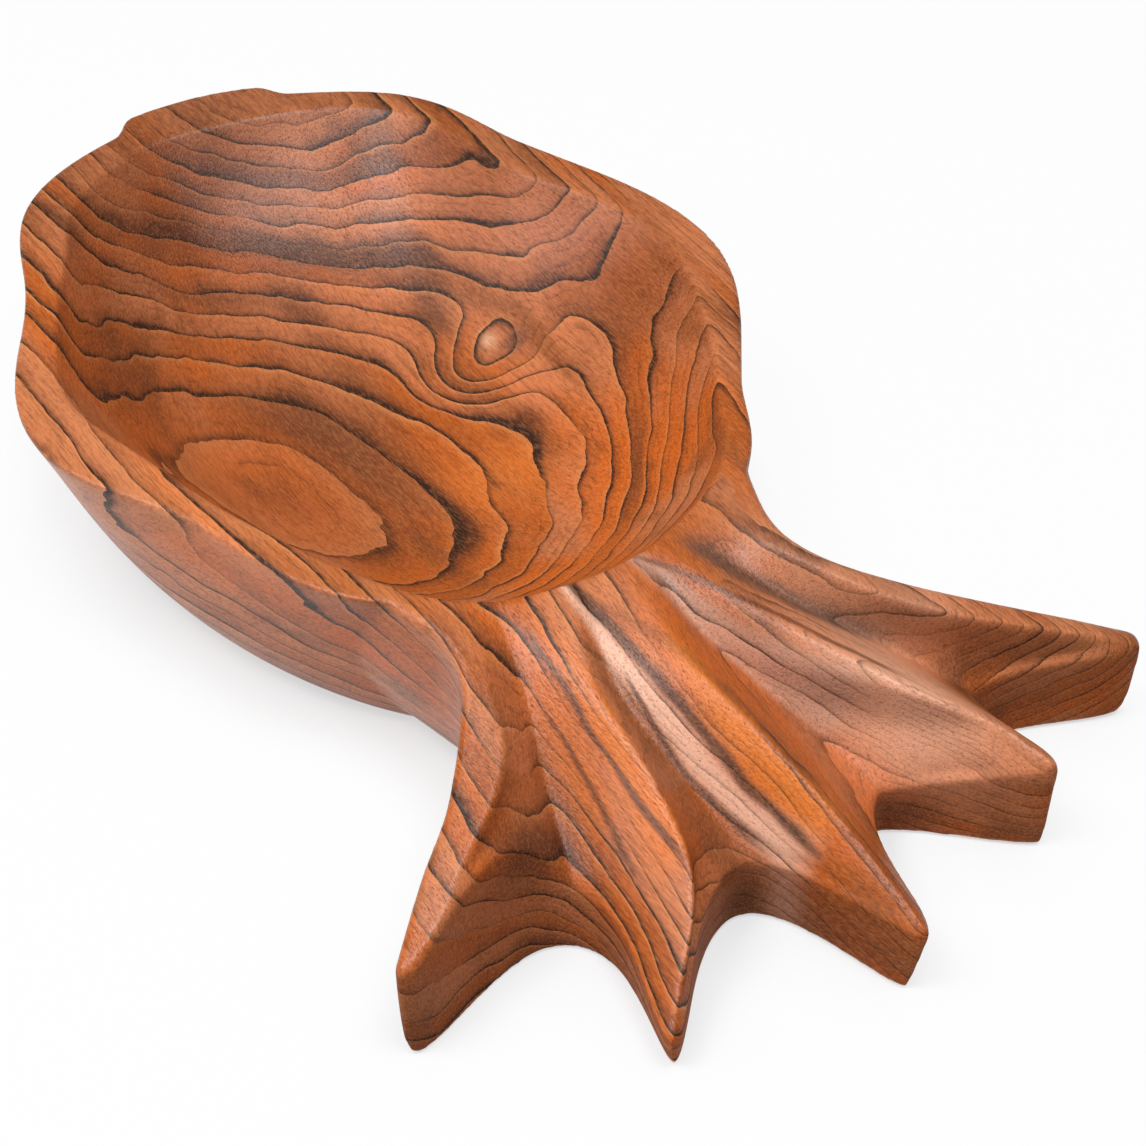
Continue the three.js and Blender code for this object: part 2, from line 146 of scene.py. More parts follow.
# How the growth layers lie in the block: a start, and terms of the place along the bowl (a), to
# the side (s), in depth (d) and beyond the neck (b). Along and to the side, the place is counted
# from a middle and by a scale. Beyond the neck it sets in softly a little before the neck.
LAYER_MIDDLE = (105, 20)
LAYER_SCALE = (100, 80)
BEYOND_START = 2
BEYOND_SOFTNESS = 6
BEYOND_SCALE = 80
LAYER_START = 0.896
LAYER_BEND = [
    (0.679, "a"), (-1.201, "s"), (4.409, "d"), (-3.924, "b"),
    (7.753, "ss"), (3.327, "dd"), (0.187, "as"), (0.524, "sd"), (-2.873, "bs"), (-1.135, "bd"),
    (3.256, "sss"), (-0.396, "ddd"), (-2.756, "ssd"),
]
# Knots pull the layers down the wall: centre, reach along each axis, and pull to the side and up
KNOTS = [((97, 35, 15), (12, 14, 14), (12, 12))]
# Noises: size of the features in millimetres, seed, detail and roughness
NOISES = {
    "long wave": ((60, 22, 22), 3.1, 2, 0.5),
    "short wave": ((22, 10, 10), 7.7, 2, 0.5),
    "ripple": ((4, 1.2, 1.2), 1.3, 3, 0.5),
    "uneven": ((40, 16, 16), 5.9, 2, 0.5),
    "heavy": ((60, 25, 25), 12.3, 2, 0.5),
    "fine lines": ((50, 9, 9), 9.4, 2, 0.5),
    "pores": ((7, 0.35, 0.35), 2.2, 2, 0.6),
    "fleck": ((2.2, 0.45, 0.45), 4.4, 2, 0.6),
    "patch": ((75, 30, 30), 6.1, 2, 0.5),
    "cloud": ((45, 10, 10), 8.8, 2, 0.5),
    "fibre": ((30, 1.1, 1.1), 13.7, 3, 0.6),
    "wander": ((24, 7, 7), 15.1, 2, 0.5),
}
# A seed moves a noise along each axis by these factors. Its output is about the middle.
SEED_STEPS = (1, 1.7, 2.3)
NOISE_MIDDLE = 0.5
NOISE_GAIN = 4
# Waves of the layers, as a share of a layer, and where they are steadier: centre, reach and share
WAVES = [("long wave", 0.18), ("short wave", 0.09), ("ripple", 0.009)]
STEADY = ((105, -18, 9), (42, 28, 12), 0.75)
# Added to the number of a half layer, for its own tone and its own line
TONE_SEED = 0.5
LINE_SEED = 20.5
CHANCE_MIDDLE = 0.5

# Ranges below are pairs: where a trait sets in, and where it is full.
# End grain is darkened, partly as the oil it drinks and partly as painted shade, less on the far
# end than on the leaves; the walls of the gaps are darkened as painted shade. They are found by
# how much a face looks along the block or up, and from where along the block on.
END_GRAIN = (0.6, 1.0)
FAR_END = -0.6
GAP_WALL = (0.5, 0.15)
GAP_WALL_START = (222, 238)
# The fan of leaves has weaker lines: from where on, along and to the side, and by how much
FAN_START = (212, 226)
FAN_SIDE = (-36, -28)
FAN_CALM = 0.5
# Strength of a line: for whole layers, by chance, in any case, and how uneven it is
LINE_WHOLE = 0.5
LINE_OWN = 0.7
LINE_LEAST = 0.25
LINE_UNEVEN = 0.85
# Dark line that ends a half layer: its width as a share, how uneven that is, and its gain
LINE_WIDTH = 0.1
LINE_WIDTH_UNEVEN = 0.05
LINE_GAIN = 1.2
# Light line that starts the next one
LIGHT_WIDTH = 0.12
# Late wood: how steeply it sets in over the half layer, less where it is heavy and by chance, and
# how strong it is
LATE_POWER = 5.0
LATE_HEAVY_POWER = 3.0
LATE_OWN_POWER = 1.5
LATE_LEAST = 0.6
LATE_HEAVY = 0.5
HEAVY_RANGE = (-0.4, 0.8)
HEAVY_SHARE = 0.9
# Fine lines: how many to a layer, how sharp and where
FINE_COUNT = 6
FINE_POWER = 6
FINE_RANGE = (-0.2, 0.6)
PORE_RANGE = (0.2, 1.0)

# Colours of the wood, light to dark
PALE = (0.74, 0.28, 0.09)
SALMON = (0.62, 0.19, 0.07)
ORANGE = (0.67, 0.13, 0.010)
BROWN = (0.25, 0.065, 0.014)
# Dark of oiled end grain, also painted shade on the leaf ends and the walls of the gaps
OILED_END_AND_SHADE = (0.13, 0.036, 0.013)
UMBER = (0.075, 0.020, 0.008)
CHOCOLATE = (0.018, 0.007, 0.004)
# Shares and ranges of the traits that colour the wood
TINT_RANGE = (-0.5, 0.5)
DARK_LAYER_RANGE = (0.35, 0.0)
DARK_LAYER = 0.5
CLOUD_RANGE = (0.0, 1.0)
CLOUD = 0.75
FIBRE_RANGE = (-0.2, 1.0)
FIBRE = 0.6
LIGHT_LINE = 0.35
# Share of that dark: oil in the end grain and painted shade on the leaf ends and gap walls
OIL_AND_SHADE = 0.42
LATE = 0.9
FINE_LINE = 0.5
LINE = 0.95
PORE = 0.4
DARK_FLECK_RANGE = (0.3, -0.9)
DARK_FLECK = 0.24
LIGHT_FLECK_RANGE = (-0.3, 0.9)
LIGHT_FLECK = 0.2
# Places where the late wood is broad and dark, or below 0 narrow and light: centre, reach, share
HEAVY = [
    ((30, -5, 32), (45, 45, 18), 1),
    ((50, 22, 23), (24, 16, 5), 1),
    ((235, -45, 15), (30, 18, 16), 1),
    ((266, 34, 13), (12, 9, 5), 1),
    ((250, 55, 16), (8, 8, 6), 1),
    ((130, 14, 10), (14, 12, 8), -1.2),
]
# Places with weaker lines in the hollow, or with none where a layer lies along the surface:
# centre, reach and share
CALM = [
    ((62, -6, 20), (42, 32, 15), 0.4),
    ((204, 30, 45), (9, 7, 8), 1),
    ((210, 3, 44), (7, 5, 7), 1),
    ((242, 1, 36), (10, 4, 9), 1),
    ((251, -18, 27), (7, 5, 8), 1),
    ((234, -43, 30), (13, 9, 12), 1),
    ((259, 38, 24), (19, 11, 12), 1),
    ((117, 74, 45), (26, 8, 5), 1),
]
# Tints: centre, reach and share, above 0 to salmon and below 0 to orange
TINTS = [
    ((165, 15, 18), (45, 40, 22), -0.9), ((245, 48, 26), (38, 34, 20), 0.7),
    ((60, -70, 22), (70, 14, 26), 0.6), ((60, 50, 32), (50, 24, 20), 0.4),
]
# Stains, the heart of the knot, and spots of painted shade and painted sheen: centre, reach,
# strength and colour. Rows marked below hold painted shade and painted sheen.
STAINS_SHADE_AND_SHEEN = [
    # Next two: darker far end of the hollow, partly dark wood and partly painted shade
    ((25, -15, 34), (32, 36, 16), 0.55, (0.15, 0.045, 0.018)),
    ((12, -20, 25), (16, 34, 12), 0.6, (0.10, 0.03, 0.014)),
    ((75, -50, 28), (26, 12, 11), 0.6, (0.12, 0.036, 0.016)),
    # Next two: pale pink on the tops of leaves 5 and 4, painted sheen over the wood's tone
    ((225, 30, 40), (22, 14, 20), 0.35, (0.78, 0.36, 0.22)),
    ((257, 33, 26), (24, 12, 13), 0.95, (0.98, 0.50, 0.32)),
    ((150, -65, 46), (45, 16, 6), 0.4, (0.88, 0.33, 0.14)),
    ((60, 50, 36), (22, 9, 8), 0.35, (0.25, 0.08, 0.04)),
    ((108, -8, 9), (34, 18, 9), 0.35, (0.19, 0.062, 0.022)),
    # Next three: painted shade, in the crease at the end of the first gap and low in the second
    # gap
    ((246, -47, 22), (5, 10, 7), 0.85, (0.035, 0.015, 0.010)),
    ((264, -11, 6), (8, 6, 7), 0.75, (0.05, 0.02, 0.012)),
    ((273, -3, 4), (14, 8, 6), 0.6, (0.07, 0.025, 0.012)),
    ((286, 3, 15), (11, 8, 9), 0.8, (0.28, 0.07, 0.012)),
    # Painted shade at the end of the third gap
    ((263, 30, 5), (9, 7, 5), 0.75, (0.05, 0.02, 0.012)),
    ((10, 10, 46), (25, 35, 6), 0.5, (0.22, 0.07, 0.03)),
    ((55, 62, 44), (50, 12, 8), 0.35, (0.25, 0.08, 0.03)),
    ((114, 61, 35), (25, 8, 12), 0.75, (0.28, 0.06, 0.012)),
    ((76, 31, 17), (8, 5, 6), 0.65, (0.08, 0.035, 0.020)),
    ((142, -24, 12), (24, 8, 7), 0.4, (0.28, 0.07, 0.015)),
    ((133, 17, 10), (11, 14, 7), 0.6, (0.74, 0.19, 0.03)),
    ((259, -80, 6), (9, 8, 10), 0.5, (0.10, 0.03, 0.012)),
    ((48, -3, 19), (16, 16, 5), 0.3, (0.35, 0.08, 0.015)),
    # Painted shade at the end of the fourth gap
    ((251, 52.5, 17), (5, 4, 4), 0.7, (0.05, 0.02, 0.012)),
    ((190, -46, 46), (14, 10, 5), 0.5, (0.45, 0.14, 0.04)),
    # Pale pink on leaf 5: painted sheen over the wood's tone
    ((240, 50, 32), (10, 7, 8), 0.4, (0.85, 0.40, 0.24)),
    ((254, 78, 22), (12, 7, 5), 0.4, (0.80, 0.30, 0.12)),
    ((92.7, 37, 16), (2.6, 1.8, 2.2), 0.95, (0.95, 0.50, 0.28)),
    ((98.5, 41, 18), (3.0, 3.2, 5), 0.75, (0.09, 0.045, 0.035)),
]
# Layers tinted for part of their length: layer, half thickness, centre, reach, strength, colour
BANDS = [
    (3.7, 0.4, (45, 12, 24), (36, 32, 14), 0.85, (0.05, 0.022, 0.015)),
    (1.75, 0.22, (30, 20, 38), (30, 30, 12), 0.6, (0.06, 0.028, 0.020)),
    (5.1, 0.18, (60, -20, 20), (40, 30, 12), 0.5, (0.08, 0.03, 0.015)),
    (4.3, 0.2, (160, 34, 24), (20, 20, 14), 0.6, (0.05, 0.02, 0.010)),
    (7.15, 0.33, (98, -12, 9), (48, 26, 9), 0.8, (0.15, 0.046, 0.017)),
    (7.85, 0.35, (100, -32, 12), (50, 28, 14), 0.8, (0.58, 0.12, 0.015)),
]
# How flat a band is across its layer
BAND_POWER = 4
# Streaks along the leaves: where they start and end, the course of their middle as place, slope
# and bend, half widths at both ends, strength and colour. The course is about a middle along the
# leaves, and wanders by so many millimetres. How flat a streak is across, and how far it fades at
# its ends, is the same for all.
STREAK_MIDDLE = 235
STREAK_POWER = 3
STREAK_FADE = 4
WANDER = 0.5
# Most streaks are grain; rows marked below are painted shade in valleys and painted sheen on lit
# flanks
STREAKS = [
    # Painted shade along the valley between leaves 2 and 3
    (222, 264, (-16.8, 0.07, 0), (2.3, 4.8), 0.6, (0.20, 0.06, 0.02)),
    # Pale pink on the lit flank of leaf 3: painted sheen over the wood's tone
    (205, 272, (-12.2, 0.178, 0.0032), (1.7, 2.8), 0.85, (0.95, 0.54, 0.38)),
    (212, 266, (-23.6, -0.054, -0.0013), (1.8, 3.2), 0.8, (0.80, 0.19, 0.018)),
    (212, 250, (-30.5, -0.04, 0), (2.6, 3.4), 0.65, (0.66, 0.15, 0.018)),
    (228, 272, (-3.3, 0.1, 0.0022), (2.2, 3.8), 0.75, (0.80, 0.20, 0.018)),
    (214, 264, (-2, 0.406, -0.0035), (1.2, 2.2), 0.45, (0.24, 0.07, 0.02)),
    # Pale pink on the lit flank of leaf 4: painted sheen over the wood's tone
    (206, 250, (13.7, 0.688, 0.0089), (2.0, 4.0), 0.6, (0.66, 0.42, 0.32)),
    # Painted shade along the valley between leaves 4 and 5
    (209, 239, (36.2, 1.374, 0.0208), (3.0, 4.2), 0.8, (0.10, 0.062, 0.048)),
    (205, 274, (-9.1, 0.198, 0.0012), (1.5, 0.6), 0.85, (0.06, 0.028, 0.020)),
    (230, 264, (-14.2, 0.0225, 0.0089), (0.6, 0.9), 0.8, (0.06, 0.020, 0.012)),
    (214, 266, (-26.1, 0.012, 0.0003), (0.45, 0.55), 0.8, (0.06, 0.020, 0.010)),
    (226, 260, (-30.3, 0.035, -0.0035), (0.4, 0.5), 0.7, (0.06, 0.020, 0.010)),
    (208, 252, (22.1, 0.754, 0.0002), (0.8, 1.1), 0.75, (0.12, 0.035, 0.014)),
]

# Sheen of the oiled wood, with the shares that pores, lines, unevenness and oil add or take away,
# and its relief in millimetres
ROUGHNESS = 0.37
ROUGH_PORES = 0.2
ROUGH_LINES = 0.1
ROUGH_UNEVEN = 0.05
ROUGH_OILED = 0.3
RELIEF_STRENGTH = 0.8
RELIEF_DEPTH = 0.1
RELIEF_FLECK = 0.4
OIL_IOR = 1.4
SPECULAR = 0.5
SPECULAR_OILED = 0.35
COAT = 0.1
COAT_ROUGHNESS = 0.28

# Floor, in metres, and its plain grey as light falls on it
FLOOR_SIZE = 6
FLOOR_GREY = 0.7
FLOOR_ROUGHNESS = 0.9
# Share of plain white in the floor that the camera sees, in the open and close to the bowl, where
# the shadow shows; how far from the bowl that reaches, and over which openness it changes
FLOOR_GLOW = 0.95
SHADE_GLOW = 0.6
SHADE_REACH = 0.02
SHADE_RANGE = (0.3, 0.95)
SHADE_SAMPLES = 4

# Camera: degrees down and round, the point that it looks at in the carving's millimetres, distance
# in metres, and focal length in the pixels of the photograph
CAMERA_ELEVATION = 39.8
CAMERA_TURN = 57.5
CAMERA_TARGET = (160.6, 17.9, 0)
CAMERA_DISTANCE = 0.577
FOCAL_PIXELS = 2600
PHOTO_PIXELS = 1146
SENSOR_WIDTH = 36
CLIP_START = 0.01
CLIP_END = 20

# Soft lamps: name, bearing from the camera's view to the right and height in degrees, size in
# metres, watts and colour. They stand at one distance in metres. The sky lights dimly.
LAMPS = [
    ("key", -120, 62, 0.5, 10.5, (1, 1, 1)),
    ("left", -105, 28, 0.35, 3, (0.78, 0.89, 1)),
    ("top", 136, 72, 0.45, 8.6, (0.93, 0.97, 1)),
]
LAMP_DISTANCE = 1.3
SKY_LIGHT = 0.12

# How fine the surfaces are made
RIM_STEPS = 540
WALL_LEVELS = 40
HOLLOW_STEPS = 540
HOLLOW_LEVELS = 44
RAIL_STEPS = 110
FLANK_STEPS = 18
CROWN_WALL_LEVELS = 16
VOXEL = 0.6
SOFTENING = 0.5
EDGE_PASSES = 11
# Wear of the foot, up to a height, and of some leaf ends: crest and reach. It is strongest within
# half of that reach.
WEAR_PASSES = 36
WEAR_LEVELS = 12
WORN_HEIGHT = 5.0
WORN_TIPS = [(CREST_4, 9.0), (CREST_5, 9.0), (CREST_3, 4.0)]
TIP_WEAR = 1.5

half_length = NECK_X / 2
half_width = BODY_WIDTH / 2


def lerp(a, b, t):
    return a + (b - a) * t


def oval_radius(angle, along_x, along_y):
    return 1 / np.hypot(np.cos(angle) / along_x, np.sin(angle) / along_y)


def rim_radius(angle):
    first = LOBES[0, 0]
    degrees = (np.degrees(angle) - first) % 360 + first
    angles = np.append(LOBES[:, 0], first + 360)
    reaches = np.append(LOBES[:, 1], LOBES[0, 1])
    k = np.clip(np.searchsorted(angles, degrees, side="right") - 1, 0, len(LOBES) - 1)
    t = (degrees - angles[k]) / (angles[k + 1] - angles[k])
    ease = (1 - np.cos(t * np.pi)) / 2
    return oval_radius(angle, half_length, half_width) + lerp(reaches[k], reaches[k + 1], ease)


def mesh_object(name, points, faces):
    mesh = bpy.data.meshes.new(name)
    mesh.from_pydata([tuple(p) for p in points], [], faces)
    mesh.validate()
    mesh.update()
    obj = bpy.data.objects.new(name, mesh)
    bpy.context.scene.collection.objects.link(obj)
    return obj


def loft(name, rings, cap_centres):
    """A closed surface through rings of points, with a fan over the first and the last ring."""
    count = len(rings[0])
    points = np.vstack(rings + [np.array(cap_centres)])
    faces = []
    for level in range(len(rings) - 1):
        for i in range(count):
            a = level * count + i
            b = level * count + (i + 1) % count
            faces.append((a, b, b + count, a + count))
    bottom = len(points) - 2
    top = len(points) - 1
    last = (len(rings) - 1) * count
    for i in range(count):
        after = (i + 1) % count
        faces.append((bottom, after, i))
        faces.append((top, last + i, last + after))
    return mesh_object(name, points, faces)


def body_ring(rise, inset):
    spread = math.sqrt(1 - (1 - rise) ** 2)
    lobing = rise ** LOBE_FADE
    base_length = NECK_X - BASE_END_INSET - BASE_NECK_INSET
    base_middle = BASE_END_INSET + base_length / 2
    angle = -np.pi + (np.arange(RIM_STEPS) + 0.5) / RIM_STEPS * 2 * np.pi
    rim = rim_radius(angle)
    oval = oval_radius(angle, half_length - WALL_END_INSET, half_width - WALL_SIDE_INSET)
    radius = lerp(np.minimum(rim, oval), rim, lobing) - inset
    base = oval_radius(angle, base_length / 2, half_width - BASE_SIDE_INSET)
    x = lerp(base_middle + base * np.cos(angle), half_length + radius * np.cos(angle), spread)
    y = lerp(base, radius, spread) * np.sin(angle)
    return np.column_stack([x, y, np.full(RIM_STEPS, rise * RIM_HEIGHT)])


def make_body():
    rings = []
    for level in range(WALL_LEVELS):
        rings.append(body_ring(1 - math.cos(level / WALL_LEVELS * math.pi / 2), 0))
    rings.append(body_ring(1 - EDGE_BREAK / RIM_HEIGHT, 0))
    rings.append(body_ring(1, EDGE_BREAK))
    return loft("body", rings, [(half_length, 0, 0), (half_length, 0, RIM_HEIGHT)])


def closed_curve(points, steps):
    """A smooth closed curve through points, at even shares of its spans."""
    count = len(points)
    scaled = np.arange(steps) / steps * count
    k = np.floor(scaled).astype(int)
    t = (scaled - k)[:, None]
    a, b, c, d = (points[(k + shift) % count] for shift in (-1, 0, 1, 2))
    slope, after = (c - a) / 2, (d - b) / 2
    return b + slope * t + (3 * (c - b) - 2 * slope - after) * t ** 2 \
        + (slope + after - 2 * (c - b)) * t ** 3


mouth_length = NECK_X - END_BAND
mouth_middle = (NECK_X + END_BAND) / 2
mouth_half_width = half_width - SIDE_BAND


def hollow_ring(mouth, share, height):
    x = mouth[:, 0] - mouth_middle
    angle = np.arctan2(mouth[:, 1], x)
    fade = min(1, share) ** MOUTH_FADE
    oval = oval_radius(angle, mouth_length / 2 - FLOOR_END_INSET,
                       mouth_half_width - FLOOR_SIDE_INSET)
    radius = lerp(oval, np.hypot(x, mouth[:, 1]), fade) * share
    return np.column_stack([
        mouth_middle + radius * np.cos(angle),
        radius * np.sin(angle),
        np.full(len(mouth), height),
    ])


def make_hollow():
    scaled = MOUTH * (mouth_length, mouth_half_width) + (END_BAND, 0)
    mouth = closed_curve(scaled, HOLLOW_STEPS)
    depth = RIM_HEIGHT - FLOOR_THICKNESS
    rings = []
    for level in range(1, HOLLOW_LEVELS):
        share = math.sin(level / HOLLOW_LEVELS * math.pi / 2)
        rings.append(hollow_ring(mouth, share, FLOOR_THICKNESS + depth * share ** HOLLOW_FULLNESS))
    broken = 1 + EDGE_BREAK / mouth_half_width
    rings.append(hollow_ring(mouth, 1, RIM_HEIGHT - EDGE_BREAK))
    rings.append(hollow_ring(mouth, broken, RIM_HEIGHT))
    rings.append(hollow_ring(mouth, broken, RIM_HEIGHT + SIDE_BAND))
    return loft("hollow", rings, [
        (mouth_middle, 0, FLOOR_THICKNESS),
        (mouth_middle, 0, RIM_HEIGHT + SIDE_BAND),
    ])


def smooth_point(path, u):
    path = np.asarray(path, float)
    scaled = u * (len(path) - 1)
    k = min(int(scaled), len(path) - 2)
    t = scaled - k
    a, b, c, d = (path[max(0, min(len(path) - 1, k + shift))] for shift in (-1, 0, 1, 2))
    slope, after = (c - a) / 2, (d - b) / 2
    return b + slope * t + (3 * (c - b) - 2 * slope - after) * t ** 2 \
        + (slope + after - 2 * (c - b)) * t ** 3


def rail_point(rail, u):
    end, path, _ = rail
    x, y, fall = smooth_point(path, u)
    return np.array([NECK_X + x, y, min(lerp(RIM_HEIGHT, end, fall), RIM_HEIGHT)])


def column(point_at):
    return np.array([point_at(i / RAIL_STEPS) for i in range(RAIL_STEPS + 1)])


def beyond_neck(point):
    return np.array([NECK_X + point[0], point[1], point[2]], float)


def gap_curve(crest, tip, pull, end, t):
    """From a leaf tip to the end of a gap: blunt at the tip, round at the end."""
    along = (rail_point(crest, 1) - rail_point(crest, 1 - TIP_STEP))[:2]
    along = along / np.linalg.norm(along)
    side = np.sign(along[0] * (end[1] - tip[1]) - along[1] * (end[0] - tip[0]))
    across = np.array([-along[1], along[0], 0]) * side * TIP_HALF_WIDTH
    corner = lerp(tip, pull, TIP_ROUNDING) + across
    return (1 - t) ** 3 * tip + 3 * t * (1 - t) ** 2 * corner \
        + 3 * t ** 2 * (1 - t) * pull + t ** 3 * end


def flank_places():
    """Crest, valley, side of the gap and share of the way down, in order across the fan."""
    places = []
    for i, valley in enumerate(VALLEYS):
        before, after = GAPS[i]
        for k in range(FLANK_STEPS):
            places.append((CRESTS[i], valley, before, k / FLANK_STEPS))
        for k in range(FLANK_STEPS, 0, -1):
            places.append((CRESTS[i + 1], valley, after, k / FLANK_STEPS))
    return places


def flank_column(place):
    crest, valley, (shoulder, _, _), t = place
    tip = rail_point(crest, 1)
    gap = rail_point(valley, 1)
    shares = np.array([1 - t, 1 - t, (1 - t) ** CREST_SHARPNESS])
    bend = gap_curve(crest, tip, beyond_neck(shoulder), gap, t) - lerp(gap, tip, shares)
    return column(
        lambda u: lerp(rail_point(valley, u), rail_point(crest, u), shares) + u ** GAP_REACH * bend
    )


def flank_foot(place):
    crest, _, (_, foot, foot_end), t = place
    return gap_curve(crest, beyond_neck(crest[2]), beyond_neck(foot), beyond_neck(foot_end), t)


def foot_column(foot, end):
    path = [(NECK_X + x, y, 0) for x, y in foot] + [tuple(end)]
    return np.array([smooth_point(path, i / RAIL_STEPS) for i in range(RAIL_STEPS + 1)])


def make_crown():
    places = flank_places()
    columns = [column(lambda u: rail_point(EDGE_1, u))]
    columns += [flank_column(place) for place in places]
    columns.append(column(lambda u: rail_point(CREST_5, u)))
    columns.append(column(lambda u: rail_point(EDGE_5, u)))
    count = len(columns)
    row = RAIL_STEPS + 1
    points = [tuple(p) for col in columns for p in col]
    faces = []
    for j in range(count - 1):
        for i in range(RAIL_STEPS):
            a = j * row + i
            faces.append((a, a + 1, a + row + 1, a + row))
    first_edge = list(range(RAIL_STEPS))
    ends = [j * row + RAIL_STEPS for j in range(count - 1)]
    last_edge = [(count - 1) * row + RAIL_STEPS - i for i in range(RAIL_STEPS)]
    root = [(count - 1 - j) * row for j in range(count - 1)]
    edge = first_edge + ends + last_edge + root
    top = np.array([points[k] for k in edge])
    along = np.roll(top, -1, axis=0)[:, :2] - np.roll(top, 1, axis=0)[:, :2]
    along /= np.linalg.norm(along, axis=1)[:, None]
    outer = top + np.column_stack([along[:, 1], -along[:, 0], -np.ones(len(top))]) * EDGE_ROUNDING
    end_feet = [beyond_neck(EDGE_1[2])] + [flank_foot(place) for place in places]
    end_feet += [beyond_neck(CREST_5[2]), beyond_neck(EDGE_5[2])]
    first_foot = foot_column(FOOT_1, end_feet[0])
    last_foot = foot_column(FOOT_5, end_feet[-1])
    root_feet = [lerp(last_foot[0], first_foot[0], j / len(root)) for j in range(len(root))]
    feet = np.array(list(first_foot[:-1]) + end_feet[:-1] + list(last_foot[1:][::-1]) + root_feet)
    slopes = np.zeros(len(top))
    slopes[RAIL_STEPS + 1:RAIL_STEPS + len(places) + 1] = GAP_WALL_SLOPE
    ring = edge
    for level in range(CROWN_WALL_LEVELS + 1):
        turn = level / CROWN_WALL_LEVELS * math.pi / 2
        down = 1 if level == CROWN_WALL_LEVELS else math.sin(turn)
        inward = lerp(1 - math.cos(turn), down, slopes)[:, None]
        wall = lerp(outer, feet, inward)
        wall[:, 2] = outer[:, 2] * (1 - down)
        start = len(points)
        points.extend(tuple(p) for p in wall)
        lower = list(range(start, start + len(wall)))
        for k in range(len(ring)):
            after = (k + 1) % len(ring)
            faces.append((ring[k], lower[k], lower[after], ring[after]))
        ring = lower
    faces.append(tuple(reversed(ring)))
    return mesh_object("crown", points, faces)


def apply_modifiers(obj):
    depsgraph = bpy.context.evaluated_depsgraph_get()
    mesh = bpy.data.meshes.new_from_object(obj.evaluated_get(depsgraph))
    obj.modifiers.clear()
    obj.data = mesh


def boolean(obj, other, operation):
    modifier = obj.modifiers.new("cut", "BOOLEAN")
    modifier.operation = operation
    modifier.solver = "EXACT"
    modifier.object = other
    apply_modifiers(obj)
    bpy.data.objects.remove(other)


def vertex_places(obj):
    coords = np.empty(len(obj.data.vertices) * 3)
    obj.data.vertices.foreach_get("co", coords)
    return coords.reshape(-1, 3)


def triangulate(obj):
    work = bmesh.new()
    work.from_mesh(obj.data)
    bmesh.ops.triangulate(work, faces=work.faces[:])
    bmesh.ops.recalc_face_normals(work, faces=work.faces[:])
    work.to_mesh(obj.data)
    work.free()


bowl = make_body()
crown = make_crown()
hollow = make_hollow()
for made in (bowl, crown, hollow):
    triangulate(made)
boolean(bowl, crown, "UNION")
boolean(bowl, hollow, "DIFFERENCE")
bowl.name = "bowl_carving"

# Fine even skin with edges softened by hand
remesh = bowl.modifiers.new("skin", "REMESH")
remesh.mode = "VOXEL"
remesh.voxel_size = VOXEL
apply_modifiers(bowl)
soften = bowl.modifiers.new("soften", "SMOOTH")
soften.factor = SOFTENING
soften.iterations = EDGE_PASSES
apply_modifiers(bowl)

# The foot and the ends of the leaves are worn rounder than the other edges
coords = vertex_places(bowl)
wear = 1 - coords[:, 2] / WORN_HEIGHT
for crest, reach in WORN_TIPS:
    tip = rail_point(crest, 1)
    away = np.hypot(coords[:, 0] - tip[0], coords[:, 1] - tip[1])
    wear = np.maximum(wear, TIP_WEAR - away / reach)
wear = np.round(np.clip(wear, 0, 1) * WEAR_LEVELS)
worn = bowl.vertex_groups.new(name="worn")
for level in range(1, WEAR_LEVELS + 1):
    worn.add(np.flatnonzero(wear == level).tolist(), level / WEAR_LEVELS, "REPLACE")
soften = bowl.modifiers.new("wear", "SMOOTH")
soften.factor = SOFTENING
soften.iterations = WEAR_PASSES
soften.vertex_group = worn.name
apply_modifiers(bowl)
bowl.vertex_groups.clear()

# Into the part's frame and exactly inside the solid's box
coords = vertex_places(bowl)
low, high = coords.min(0), coords.max(0)
box_low, box_high = np.array(cad_low), np.array(cad_high)
coords = box_low + (coords - low) / (high - low) * (box_high - box_low)
shift = low - box_low / MM
bowl.data.vertices.foreach_set("co", coords.ravel())
bowl.data.update()
for polygon in bowl.data.polygons:
    polygon.use_smooth = True

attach(bowl, "root")
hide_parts("carved_bowl")


class Amount:
    """A number, colour or place that varies over a surface, worked out by shader nodes."""

    tree = None

    def __init__(self, socket):
        self.socket = socket

    def __add__(self, other):
        return maths("ADD", self, other)

    def __sub__(self, other):
        return maths("SUBTRACT", self, other)

    def __rsub__(self, other):
        return maths("SUBTRACT", other, self)

    def __mul__(self, other):
        return maths("MULTIPLY", self, other)

    def __truediv__(self, other):
        return maths("DIVIDE", self, other)

    def __pow__(self, other):
        return maths("POWER", self, other)

    __radd__ = __add__
    __rmul__ = __mul__


def set_input(socket, value):
    if isinstance(value, Amount):
        Amount.tree.links.new(value.socket, socket)
    else:
        socket.default_value = value


def new_node(kind, operation=None, values=()):
    """A shader node in the present tree, with values or amounts for its first inputs."""
    node = Amount.tree.nodes.new("ShaderNode" + kind)
    if operation:
        node.operation = operation
    for socket, value in zip(node.inputs, values):
        set_input(socket, value)
    return node


def maths(operation, *values, clamp=False):
    node = new_node("Math", operation, values)
    node.use_clamp = clamp
    return Amount(node.outputs[0])


def bell(value, power=2):
    """1 where the value is 0, fading to both sides of it; a higher power gives a flatter top."""
    return maths("EXPONENT", value ** power * -1)


def ramp(value, low, high, start=0.0, end=1.0):
    """From start, up to low, to end, from high on, smooth between."""
    node = new_node("MapRange")
    node.interpolation_type = "SMOOTHSTEP"
    set_input(node.inputs["Value"], value)
    node.inputs["From Min"].default_value = low
    node.inputs["From Max"].default_value = high
    node.inputs["To Min"].default_value = start
    node.inputs["To Max"].default_value = end
    return Amount(node.outputs["Result"])


